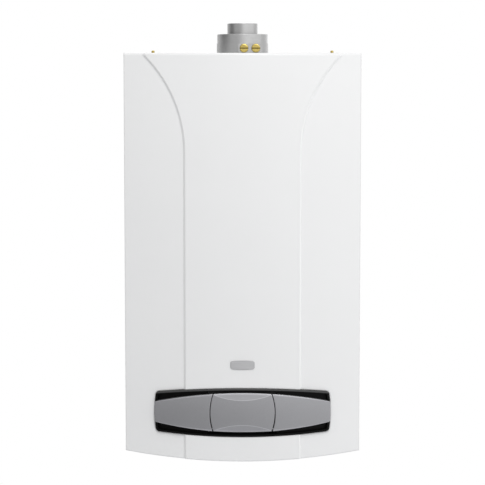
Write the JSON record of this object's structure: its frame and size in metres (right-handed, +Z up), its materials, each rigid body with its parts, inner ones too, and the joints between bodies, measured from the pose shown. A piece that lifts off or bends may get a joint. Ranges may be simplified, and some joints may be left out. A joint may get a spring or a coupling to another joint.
{
  "type": "gas boiler",
  "caption": "Wall-hung gas boiler with bowed white front, lens-shaped control panel with drop-down flap, coaxial flue collar on top and pipe tails below.",
  "frame": {"origin": "midway between the two hanging holes, on the wall plane", "axes": "+Z up, +Y into the wall, -Y out of the front, +X to the right seen from the front"},
  "size_m": [0.45, 0.349, 0.845],
  "materials": {
    "white_paint": "smooth white powder coat",
    "zinc_steel": "zinc-coated sheet",
    "badge_silver": "satin plate",
    "black_plastic": "fine moulded grain",
    "silver_plastic": "silver-grey paint on moulded plastic",
    "grey_plastic": "moulded",
    "board_green": "solder mask",
    "clear_window": "clear",
    "gauge_white": "moulded",
    "needle_black": "painted",
    "cast_aluminium": "cast and turned",
    "brass": "turned",
    "copper": "drawn copper",
    "insulation": "pressed ceramic fibre",
    "seal_rubber": "foam rubber",
    "vessel_red": "red paint",
    "pump_iron": "painted casting",
    "steel": "turned",
    "tap_blue": "moulded",
    "cap_red": "moulded"
  },
  "bodies": {
    "casing": {"air_switch": "black_plastic", "air_vent": "grey_plastic", "back_frame": "zinc_steel", "bottom_tray": "zinc_steel", "burner": "zinc_steel", "burner_manifold": "brass", "chamber_lid": "zinc_steel", "chamber_seal": "seal_rubber", "combustion_box": "zinc_steel", "control_board": "board_green", "control_box": "grey_plastic", "control_box_lid": "grey_plastic", "control_fascia": "black_plastic", "display_window": "clear_window", "diverter_motor": "black_plastic", "electrodes": "insulation", "exhaust_pipe": "cast_aluminium", "expansion_vessel": "vessel_red", "fan_housing": "zinc_steel", "fan_motor": "black_plastic", "flow_block": "brass", "flow_pipe": "copper", "flue_adaptor": "cast_aluminium", "flue_hood": "zinc_steel", "front_badge": "badge_silver", "front_cover": "white_paint", "gas_pipes": "copper", "gas_valve": "cast_aluminium", "gauge_case": "gauge_white", "gauge_glass": "clear_window", "heat_exchanger": "copper", "insulation_panels": "insulation", "panel_bezel": "black_plastic", "panel_wing_left": "silver_plastic", "panel_wing_right": "silver_plastic", "plate_exchanger": "zinc_steel", "pump_housing": "pump_iron", "pump_motor": "black_plastic", "return_block": "brass", "return_pipe": "copper", "safety_valve": "brass", "sealed_chamber": "zinc_steel", "side_panel_left": "white_paint", "side_panel_right": "white_paint", "test_plugs": "brass", "top_plate": "white_paint", "top_screws": "brass", "tray_screws": "zinc_steel"},
    "flap": {"control_flap": "silver_plastic"},
    "fan_wheel": {"fan_impeller": "cast_aluminium"},
    "pump_wheel": {"pump_rotor": "steel"},
    "diverter": {"diverter_spindle": "steel"},
    "needle": {"gauge_needle": "needle_black"},
    "filling_tap": {"filling_knob": "tap_blue"},
    "safety_knob": {"safety_cap": "cap_red"},
    "heating_down_button": {"heating_down_button": "grey_plastic"},
    "heating_up_button": {"heating_up_button": "grey_plastic"},
    "power_button": {"power_button": "grey_plastic"},
    "water_down_button": {"water_down_button": "grey_plastic"},
    "water_up_button": {"water_up_button": "grey_plastic"}
  },
  "joints": [
    {"name": "flap_hinge", "type": "hinge", "parent": "casing", "child": "flap", "pos_m": [0, -0.3417, -0.6555], "axis": [1, 0, 0], "range_deg": [0, 95]},
    {"name": "fan_spin", "type": "hinge", "parent": "casing", "child": "fan_wheel", "pos_m": [-0.053, -0.131, -0.024], "axis": [0, 1, 0], "continuous": true},
    {"name": "pump_spin", "type": "hinge", "parent": "casing", "child": "pump_wheel", "pos_m": [0.15, -0.09, -0.5535], "axis": [0, 1, 0], "continuous": true},
    {"name": "diverter_slide", "type": "slide", "parent": "casing", "child": "diverter", "axis": [0, 1, 0], "range_m": [0, 0.008]},
    {"name": "needle_turn", "type": "hinge", "parent": "casing", "child": "needle", "pos_m": [-0.06, -0.19, -0.688], "axis": [0, 0, 1], "range_deg": [-90, 180]},
    {"name": "filling_turn", "type": "hinge", "parent": "casing", "child": "filling_tap", "pos_m": [0.097, -0.114, -0.69], "axis": [0, 0, 1], "range_deg": [0, 180]},
    {"name": "safety_turn", "type": "hinge", "parent": "casing", "child": "safety_knob", "pos_m": [-0.2, -0.09, -0.6385], "axis": [-1, 0, 0], "range_deg": [0, 90]},
    {"name": "heating_down_press", "type": "slide", "parent": "casing", "child": "heating_down_button", "axis": [0, 1, 0], "range_m": [0, 0.0015], "stiffness_N_per_m": 1200},
    {"name": "heating_up_press", "type": "slide", "parent": "casing", "child": "heating_up_button", "axis": [0, 1, 0], "range_m": [0, 0.0015], "stiffness_N_per_m": 1200},
    {"name": "power_press", "type": "slide", "parent": "casing", "child": "power_button", "axis": [0, 1, 0], "range_m": [0, 0.0015], "stiffness_N_per_m": 1200},
    {"name": "water_down_press", "type": "slide", "parent": "casing", "child": "water_down_button", "axis": [0, 1, 0], "range_m": [0, 0.0015], "stiffness_N_per_m": 1200},
    {"name": "water_up_press", "type": "slide", "parent": "casing", "child": "water_up_button", "axis": [0, 1, 0], "range_m": [0, 0.0015], "stiffness_N_per_m": 1200}
  ]
}
